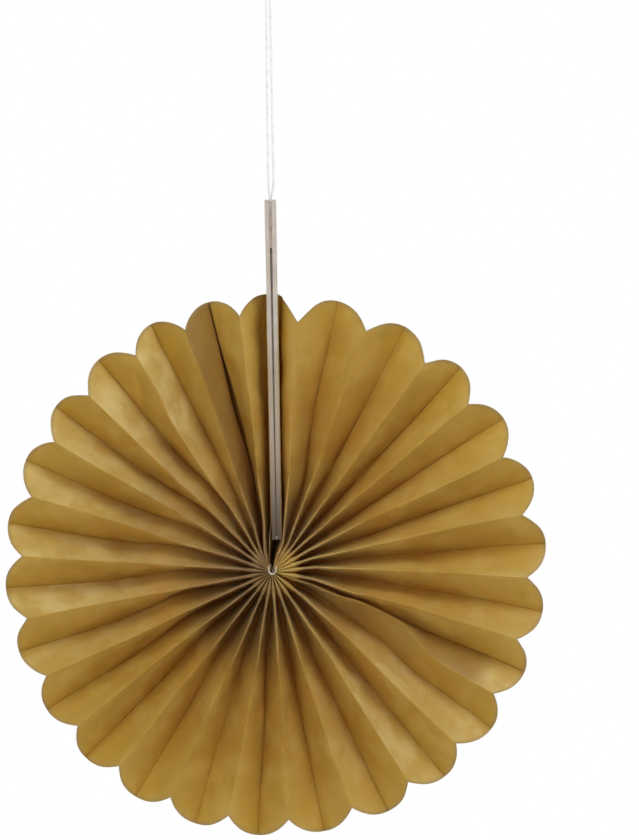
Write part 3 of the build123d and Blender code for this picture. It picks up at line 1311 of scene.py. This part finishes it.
def twisted(
    path: np.ndarray, diameter: float, pitch: float, plies: int = 3, sides: int = 8
) -> tuple[np.ndarray, list]:
    """Lay plies round a path, as in a twisted thread.

    Args:
        path: points that the thread follows, close together.
        diameter: the thread's diameter.
        pitch: length of one full twist.
        plies: strands in the thread.
        sides: points round each ply.

    Returns:
        The vertices and the faces of all plies.
    """
    steps = np.diff(path, axis=0)
    run = np.concatenate([[0.0], np.cumsum(np.linalg.norm(steps, axis=1))])
    tangent = np.gradient(path, run, axis=0)
    tangent /= np.linalg.norm(tangent, axis=1, keepdims=True)
    nearly_along = 0.9
    guide = np.array([0.0, 1.0, 0.0])
    if abs(tangent[0].dot(guide)) > nearly_along:
        guide = np.array([1.0, 0.0, 0.0])
    aside = np.zeros_like(path)
    for place, direction in enumerate(tangent):
        guide = guide - direction * guide.dot(direction)
        guide = guide / np.linalg.norm(guide)
        aside[place] = guide
    other = np.cross(tangent, aside)
    # Plies that touch each other and fill the thread's round.
    ply_radius = diameter / 2.0 / (1.0 + 1.0 / math.sin(math.pi / plies))
    offset = diameter / 2.0 - ply_radius
    around = 2.0 * math.pi * np.arange(sides) / sides
    points, faces = [], []
    for ply in range(plies):
        twist = 2.0 * math.pi * (run / pitch + ply / plies)
        centre = path + offset * (np.cos(twist)[:, None] * aside + np.sin(twist)[:, None] * other)
        ring = (
            centre[:, None]
            + ply_radius * np.cos(around)[None, :, None] * aside[:, None]
            + ply_radius * np.sin(around)[None, :, None] * other[:, None]
        )
        points.append(ring.reshape(-1, 3))
        number = ply * len(path) * sides + np.arange(len(path) * sides).reshape(len(path), sides)
        after = np.roll(number, -1, axis=1)
        quads = np.stack([number[:-1], after[:-1], after[1:], number[1:]], axis=-1)
        faces += quads.reshape(-1, 4).tolist()
        faces += [number[0, ::-1].tolist(), number[-1].tolist()]
    return np.concatenate(points), faces


def metres(place: tuple) -> tuple:
    """Turn a place in millimetres into one in metres."""
    return tuple(MM * value for value in place)


def spline_points(name: str, route: tuple, spacing: float) -> np.ndarray:
    """Follow a smooth curve along a route.

    Args:
        name: the curve's name.
        route: the control points of one open spline of order 3, in millimetres.
        spacing: distance between the points that come back.

    Returns:
        Evenly spaced points of the curve.
    """
    curve = bpy.data.curves.new(name, "CURVE")
    curve.dimensions = "3D"
    spline = curve.splines.new("NURBS")
    spline.points.add(len(route) - 1)
    for point, place in zip(spline.points, route):
        point.co = (*metres(place), 1.0)
    spline.order_u = 3
    spline.use_endpoint_u = True
    spline.resolution_u = 32
    carrier = bpy.data.objects.new(name, curve)
    line = bpy.data.meshes.new_from_object(carrier)
    points = np.array([vertex.co for vertex in line.vertices])
    bpy.data.objects.remove(carrier)
    bpy.data.meshes.remove(line)
    run = np.concatenate([[0.0], np.cumsum(np.linalg.norm(np.diff(points, axis=0), axis=1))])
    count = max(int(run[-1] / spacing), 2)
    even = np.linspace(0.0, run[-1], count + 1)
    return np.stack([np.interp(even, run, points[:, axis]) for axis in range(3)], axis=1)


@dataclass
class HangingThread:
    """The cotton string, its knot, and the binding thread at the hub."""

    finish: bpy.types.Material
    binding_finish: bpy.types.Material
    diameter: float = 0.7 * MM
    pitch: float = 2.1 * MM
    spacing: float = 0.15 * MM
    length: float = 181.9 * MM
    route: tuple = (
        (1.45, -0.5, 98.9),
        (1.45, -0.5, 105.4),
        (1.03, -0.5, 108.0),
        (1.065, -0.46, 113.0),
        (1.465, -0.04, 170.7),
        (1.50, 0.0, 175.7),
        (-1.75, 0.0, 180.9),
        (-0.85, 0.0, 186.9),
        (4.95, 0.0, 187.5),
        (5.75, 0.0, 181.3),
        (2.46, 0.0, 175.7),
        (2.463, 0.04, 170.7),
        (2.497, 0.46, 113.0),
        (2.50, 0.5, 108.0),
        (1.45, 0.5, 105.4),
        (1.45, 0.5, 98.9),
    )
    knot_place: tuple = (1.98 * MM, 0.0, 171.4 * MM)
    knot_radius: float = 1.24 * MM
    knot_turns: int = 3
    knot_pitch: float = 0.7 * MM
    knot_steps: int = 48
    binding_diameter: float = 0.62 * MM
    binding_pitch: float = 1.68 * MM
    binding_spacing: float = 0.075 * MM
    binding_route: tuple = (
        (-0.36, 5.6, 0.1),
        (-0.36, 0.0, 0.2),
        (-0.5, -3.4, 1.6),
        (-0.95, -6.1, 1.7),
        (-1.05, -7.1, 0.5),
        (-0.62, -7.35, -0.75),
        (0.55, -7.35, -0.85),
        (1.15, -7.1, 0.45),
        (1.2, -6.1, 1.9),
        (0.5, -3.4, 1.4),
        (0.36, 0.0, 0.2),
        (0.36, 5.6, 0.1),
    )
    binding_place: tuple = (0.05 * MM, 0.0, 0.25 * MM)

    def build_string(self) -> bpy.types.Object:
        """Build the string along its route.


        Returns:
            The string.
        """
        path = spline_points("string_line", self.route, self.spacing)
        points, faces = twisted(path, self.diameter, self.pitch)
        string = piece("twisted_string", points, faces, self.finish)
        stand_for(string, "hanging_string")
        return string

    def build_knot(self) -> bpy.types.Object:
        """Build the knot: turns of the string round its two strands.

        Returns:
            The knot.
        """
        turns = np.linspace(0.0, self.knot_turns, self.knot_steps * self.knot_turns + 1)
        height = (turns - self.knot_turns / 2.0) * self.knot_pitch
        angle = 2.0 * math.pi * turns
        across, back = self.knot_radius * np.cos(angle), self.knot_radius * np.sin(angle)
        path = np.stack([across, back, height], axis=1) + np.array(self.knot_place)
        points, faces = twisted(path, self.diameter, self.pitch)
        knot = piece("string_turns", points, faces, self.finish)
        stand_for(knot, "string_knot")
        return knot

    def build_binding(self) -> bpy.types.Object:
        """Build the loop of thread that gathers the folds at the hub.

        Returns:
            The binding thread.
        """
        path = spline_points("binding_line", self.binding_route, self.binding_spacing)
        path = path + np.array(self.binding_place)
        points, faces = twisted(path, self.binding_diameter, self.binding_pitch)
        binding = piece("hub_binding", points, faces, self.binding_finish)
        stand_for(binding, "binding_thread")
        return binding


@dataclass
class CardStrips:
    """The two card strips and the tape between them, which keep their solids."""

    card: bpy.types.Material
    tape: bpy.types.Material

    def dress(self) -> list[str]:
        """Give the strips and the tape their finishes.

        Returns:
            The names of the dressed nodes.
        """
        finishes = {"left_strip": self.card, "right_strip": self.card, "adhesive_tape": self.tape}
        for name, finish in finishes.items():
            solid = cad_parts[name]
            solid.data.materials.clear()
            solid.data.materials.append(finish)
        return sorted(finishes)


@dataclass(frozen=True)
class Lamp:
    """A square area lamp: its place and side in metres, and its power in watts."""

    name: str
    place: tuple[float, float, float]
    side: float
    power: float

    def hang(self, aim: tuple[float, float, float]) -> bpy.types.Object:
        """Hang the lamp so that it points at a place.

        Args:
            aim: the place that it points at.

        Returns:
            The lamp.
        """
        data = bpy.data.lights.new(self.name, "AREA")
        data.size = self.side
        data.energy = self.power
        lamp = bpy.data.objects.new(self.name, data)
        bpy.context.scene.collection.objects.link(lamp)
        lamp.location = self.place
        lamp.rotation_mode = "QUATERNION"
        lamp.rotation_quaternion = (Vector(self.place) - Vector(aim)).to_track_quat("Z", "Y")
        return lamp


@dataclass
class Studio:
    """A pale room: soft lamps, a floor below, and a camera at the photograph's angle."""

    photo_width: float = 639.0
    photo_height: float = 840.0
    pixel: float = 0.2822 * MM
    origin_across: float = 272.26
    origin_down: float = 571.25
    lean: float = math.radians(1.11)
    distance: float = 1.5
    sensor: float = 36.0
    lamps: tuple = (
        Lamp("key_lamp", (0.28, -0.60, 0.80), 0.5, 5.0),
        Lamp("front_lamp", (-0.35, -1.1, 0.10), 0.9, 4.0),
        Lamp("back_lamp", (-0.3, 0.9, 0.7), 0.8, 2.6),
    )
    aim: tuple = (0.0, 0.0, 0.01)
    sky_direction: tuple = (0.1, -0.35, 0.93)
    sky_light: tuple = (0.22, 0.56)
    sky_colour: tuple = (1.0, 1.0, 1.0, 1.0)
    floor_drop: float = 123.8 * MM
    floor_radius: float = 1.2
    floor_sides: int = 96
    floor_clouds: float = 6.0
    floor_shades: tuple = ((0.3, (0.90, 0.90, 0.89)), (0.7, (0.93, 0.93, 0.92)))
    floor_roughness: float = 0.9

    def place_camera(self) -> bpy.types.Object:
        """Place the camera so that the strips and the hub fall where the photograph has them.

        Returns:
            The camera.
        """
        across = (self.photo_width / 2.0 - self.origin_across) * self.pixel
        up = (self.origin_down - self.photo_height / 2.0) * self.pixel
        sine, cosine = math.sin(self.lean), math.cos(self.lean)
        data = bpy.data.cameras.new("camera")
        data.sensor_width = self.sensor
        data.lens = self.sensor * self.distance / (self.photo_height * self.pixel)
        camera = bpy.data.objects.new("camera", data)
        bpy.context.scene.collection.objects.link(camera)
        right = Vector((cosine, 0.0, -sine))
        above = Vector((sine, 0.0, cosine))
        turned = Matrix((right, above, Vector((0.0, -1.0, 0.0)))).transposed()
        place = right * across + above * up + Vector((0.0, -self.distance, 0.0))
        camera.matrix_world = Matrix.Translation(place) @ turned.to_4x4()
        bpy.context.scene.camera = camera
        return camera

    def light(self) -> None:
        """Light the room softly from above, in front and a little to the right."""
        for lamp in self.lamps:
            lamp.hang(self.aim)
        world = bpy.data.worlds.new("pale_room")
        bpy.context.scene.world = world
        world.use_nodes = True
        ground = Ground(world.node_tree)
        rays = ground.add("ShaderNodeLightPath").outputs
        mirrored = ground.combine("MAXIMUM", rays["Is Glossy Ray"], rays["Is Transmission Ray"])
        seen = ground.combine("MAXIMUM", rays["Is Camera Ray"], mirrored)
        facing = ground.add("ShaderNodeVectorMath", operation="DOT_PRODUCT")
        facing.inputs[1].default_value = self.sky_direction
        ground.join(ground.add("ShaderNodeTexCoord").outputs["Generated"], facing.inputs[0])
        soft = ground.span(facing.outputs["Value"], *self.sky_light, start=-1.0)
        backdrop = world.node_tree.nodes["Background"]
        backdrop.inputs["Color"].default_value = self.sky_colour
        ground.join(ground.combine("MAXIMUM", soft, seen), backdrop.inputs["Strength"])

    def lay_floor(self) -> bpy.types.Object:
        """Lay a pale round floor below the medallion.

        Returns:
            The floor.
        """
        turn = 2.0 * math.pi * np.arange(self.floor_sides) / self.floor_sides
        level = np.full(self.floor_sides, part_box("paper_fan")[0].z - self.floor_drop)
        across, back = self.floor_radius * np.cos(turn), self.floor_radius * np.sin(turn)
        material = bpy.data.materials.new("pale_floor")
        material.use_nodes = True
        ground = Ground(material.node_tree)
        shader = material.node_tree.nodes["Principled BSDF"]
        shade = ground.noise(ground.add("ShaderNodeTexCoord").outputs["Object"], self.floor_clouds)
        ground.join(ground.ramp(shade, self.floor_shades), shader.inputs["Base Color"])
        shader.inputs["Roughness"].default_value = self.floor_roughness
        points = np.stack([across, back, level], axis=1)
        floor = piece("floor", points, [list(range(self.floor_sides))], material)
        return floor


def main() -> None:
    """Build every piece, dress the solids and set up the room."""
    logging.basicConfig(level=logging.INFO, format="%(name)s: %(message)s")
    studio = Studio()
    studio.place_camera()
    # The binding thread is the same white cotton, painted darker and warmer: painted shade and golden
    # bounce light at the hub.
    shaded_cotton = CottonFinish(name="painted_shade_cotton", shade=(0.36, 0.28, 0.17), light=(0.56, 0.46, 0.31))
    thread = HangingThread(CottonFinish().make(), shaded_cotton.make())
    knot = thread.build_knot()
    log.info("built %s and %s", thread.build_string().name, knot.name)
    log.info("built %s", thread.build_binding().name)
    fibre_group()
    sheet = FoldedSheet().build(TissueFinish().make())
    log.info("built %s with %d faces", sheet.name, len(sheet.data.polygons))
    log.info("dressed %s", CardStrips(CardFinish().make(), TapeFinish().make()).dress())
    studio.lay_floor()
    studio.light()
    bpy.context.scene.view_settings.view_transform = "Standard"


if __name__ == "__main__":
    main()
